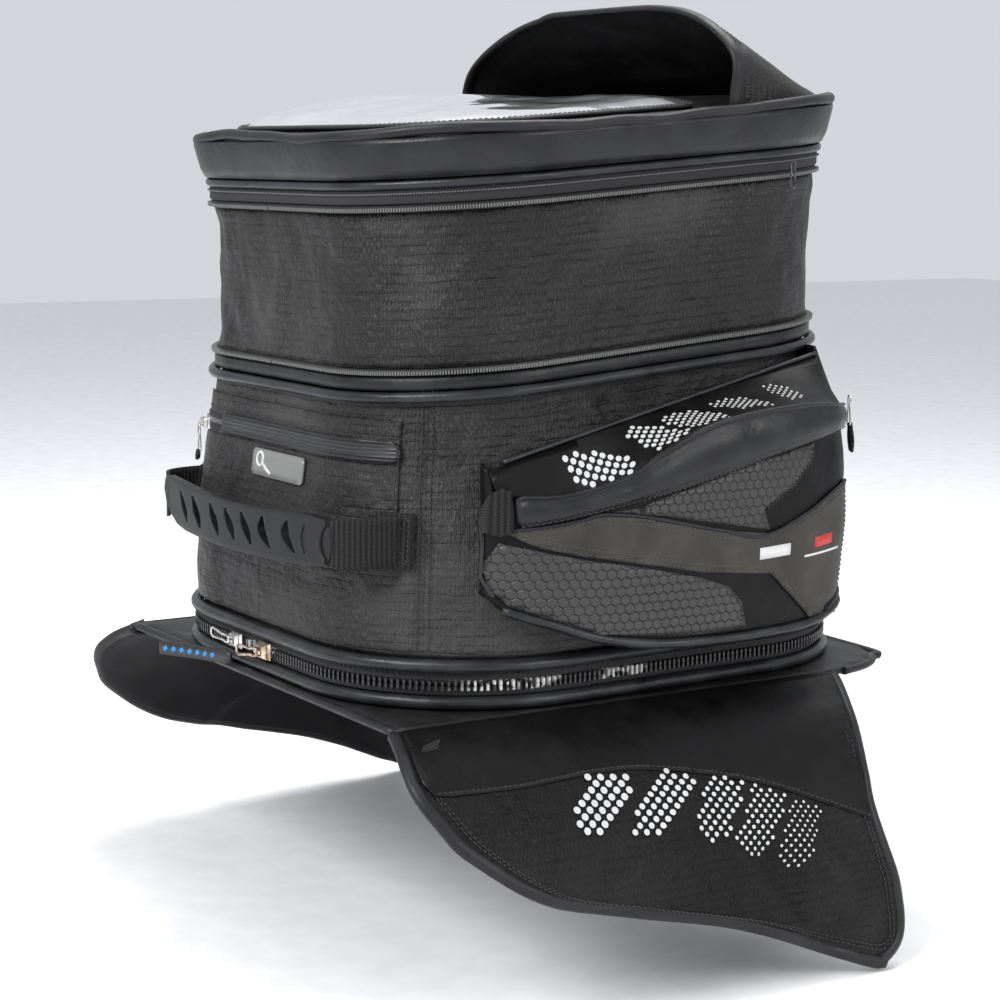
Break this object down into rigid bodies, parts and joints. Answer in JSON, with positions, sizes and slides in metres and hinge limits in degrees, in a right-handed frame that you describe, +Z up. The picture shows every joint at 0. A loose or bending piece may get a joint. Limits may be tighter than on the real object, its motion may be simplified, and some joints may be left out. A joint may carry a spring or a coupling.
{
  "type": "motorcycle tank bag",
  "caption": "Magnetic motorcycle tank bag with fold-up wings, zip-off body, expanding top, hinged lid with map window and hood, side pockets and a carry handle.",
  "frame": {"origin": "middle of the underside of the apron, where the bag meets the tank", "axes": "+X to the rider's right, +Y towards the front of the motorcycle, +Z up"},
  "size_m": [0.5482, 0.3969, 0.5533],
  "materials": {
    "ripstop": "woven",
    "coated_fabric": "satin",
    "taupe_panel": "satin",
    "lining": "woven",
    "zip_tape": "woven",
    "webbing": "ribbed",
    "grip_rubber": "matte",
    "stiffener": "matte",
    "badge": "satin",
    "clear_film": "clear",
    "pull_metal": "worn",
    "dark_metal": "satin",
    "magnet": "satin"
  },
  "bodies": {
    "base": {"apron_centre": "ripstop", "base_board": "stiffener", "base_piping": "coated_fabric", "base_zip_lower": "zip_tape"},
    "wing_right": {"wing_right_cover": "ripstop", "wing_right_lining": "lining", "wing_right_magnet_1": "magnet", "wing_right_magnet_2": "magnet"},
    "wing_left": {"wing_left_cover": "ripstop", "wing_left_lining": "lining", "wing_left_magnet_1": "magnet", "wing_left_magnet_2": "magnet"},
    "base_slider_right": {"base_zip_right_slider": "pull_metal"},
    "base_slider_left": {"base_zip_left_slider": "pull_metal"},
    "base_pull_right": {"base_zip_right_pull": "pull_metal", "base_zip_right_tab": "webbing"},
    "base_pull_left": {"base_zip_left_pull": "pull_metal"},
    "bag": {"lower_shell": "ripstop", "floor_board": "stiffener", "base_zip_upper": "zip_tape", "lower_piping": "coated_fabric", "middle_piping": "coated_fabric", "middle_band": "coated_fabric", "middle_zip": "zip_tape", "expansion_wall": "ripstop", "wall_board_right": "stiffener", "wall_board_left": "stiffener", "wall_board_front": "stiffener", "wall_board_rear": "stiffener", "key_pocket_panel": "coated_fabric", "key_pocket_zip_cover": "coated_fabric", "key_pocket_badge": "badge", "handle_patch_right": "webbing", "handle_patch_left": "webbing", "handle_strap_right": "webbing", "handle_strap_left": "webbing", "pocket_right_body": "ripstop", "pocket_right_trim_panel": "taupe_panel", "pocket_left_body": "ripstop", "pocket_left_trim_panel": "taupe_panel"},
    "handle": {"handle_grip": "grip_rubber"},
    "pocket_lid_right": {"pocket_right_lid": "ripstop", "pocket_right_zip_cover": "coated_fabric"},
    "pocket_lid_left": {"pocket_left_lid": "ripstop", "pocket_left_zip_cover": "coated_fabric"},
    "pocket_pull_right": {"pocket_right_pull": "pull_metal"},
    "pocket_pull_left": {"pocket_left_pull": "pull_metal"},
    "key_slider": {"key_pocket_slider": "pull_metal"},
    "key_pull": {"key_pocket_pull": "pull_metal"},
    "top": {"upper_zip": "zip_tape", "upper_band": "coated_fabric", "upper_piping": "coated_fabric"},
    "lid_pull": {"lid_pull": "dark_metal"},
    "lid": {"lid_rim": "coated_fabric", "lid_piping": "coated_fabric", "lid_panel": "lining", "map_window": "clear_film", "hood_skin": "ripstop"},
    "hood": {"hood_arch": "coated_fabric"}
  },
  "joints": [
    {"name": "wing_right_fold", "type": "hinge", "parent": "base", "child": "wing_right", "pos_m": [0.1769, -0.03, 0.0031], "axis": [0, -1, 0], "range_deg": [0, 60]},
    {"name": "wing_left_fold", "type": "hinge", "parent": "base", "child": "wing_left", "pos_m": [-0.1769, -0.03, 0.0031], "axis": [0, 1, 0], "range_deg": [0, 60]},
    {"name": "bag_release", "type": "slide", "parent": "base", "child": "bag", "axis": [0, 0, 1], "range_m": [0, 0.08]},
    {"name": "base_slider_right", "type": "slide", "parent": "base", "child": "base_slider_right", "axis": [1, 0, 0], "range_m": [0, 0.05]},
    {"name": "base_slider_left", "type": "slide", "parent": "base", "child": "base_slider_left", "axis": [-1, 0, 0], "range_m": [0, 0.024]},
    {"name": "base_pull_right_swing", "type": "hinge", "parent": "base_slider_right", "child": "base_pull_right", "pos_m": [0.012, -0.192, 0.0175], "axis": [0, 0, 1], "range_deg": [0, 140]},
    {"name": "base_pull_left_swing", "type": "hinge", "parent": "base_slider_left", "child": "base_pull_left", "pos_m": [-0.026, -0.192, 0.0175], "axis": [0, 0, 1], "range_deg": [0, 140]},
    {"name": "handle_swing", "type": "hinge", "parent": "bag", "child": "handle", "pos_m": [0, -0.17, 0.099], "axis": [-1, 0, 0], "range_deg": [-35, 25], "deforming": ["handle_strap_right", "handle_strap_left"]},
    {"name": "pocket_lid_right_fold", "type": "hinge", "parent": "bag", "child": "pocket_lid_right", "pos_m": [0.15935, 0, 0.16925], "axis": [0.052, -0.9748, -0.2168], "range_deg": [0, 70]},
    {"name": "pocket_lid_left_fold", "type": "hinge", "parent": "bag", "child": "pocket_lid_left", "pos_m": [-0.15935, 0, 0.16925], "axis": [0.052, 0.9748, 0.2168], "range_deg": [0, 70]},
    {"name": "pocket_pull_right_swing", "type": "hinge", "parent": "bag", "child": "pocket_pull_right", "pos_m": [0.1735, 0.132, 0.172], "axis": [0.9611, -0.276, 0], "range_deg": [0, 70]},
    {"name": "pocket_pull_left_swing", "type": "hinge", "parent": "bag", "child": "pocket_pull_left", "pos_m": [-0.1735, 0.132, 0.172], "axis": [0.9611, 0.276, 0], "range_deg": [0, 70]},
    {"name": "key_slider", "type": "slide", "parent": "bag", "child": "key_slider", "axis": [1, 0, 0], "range_m": [0, 0.16]},
    {"name": "key_pull_swing", "type": "hinge", "parent": "key_slider", "child": "key_pull", "pos_m": [-0.076, -0.1861, 0.148], "axis": [-1, 0, 0], "range_deg": [0, 70]},
    {"name": "expansion", "type": "slide", "parent": "bag", "child": "top", "axis": [0, 0, 1], "range_m": [-0.08, 0], "deforming": ["expansion_wall"]},
    {"name": "lid_pull_swing", "type": "hinge", "parent": "top", "child": "lid_pull", "pos_m": [0.1585, 0.0963, 0.313], "axis": [-0.122, -0.9925, 0], "range_deg": [0, 60]},
    {"name": "lid_hinge", "type": "hinge", "parent": "top", "child": "lid", "pos_m": [0, 0.179, 0.329], "axis": [-1, 0, 0], "range_deg": [0, 105]},
    {"name": "hood_fold", "type": "hinge", "parent": "lid", "child": "hood", "pos_m": [0, 0.055, 0.3486], "axis": [-1, 0, 0], "range_deg": [0, 70], "deforming": ["hood_skin"]}
  ]
}
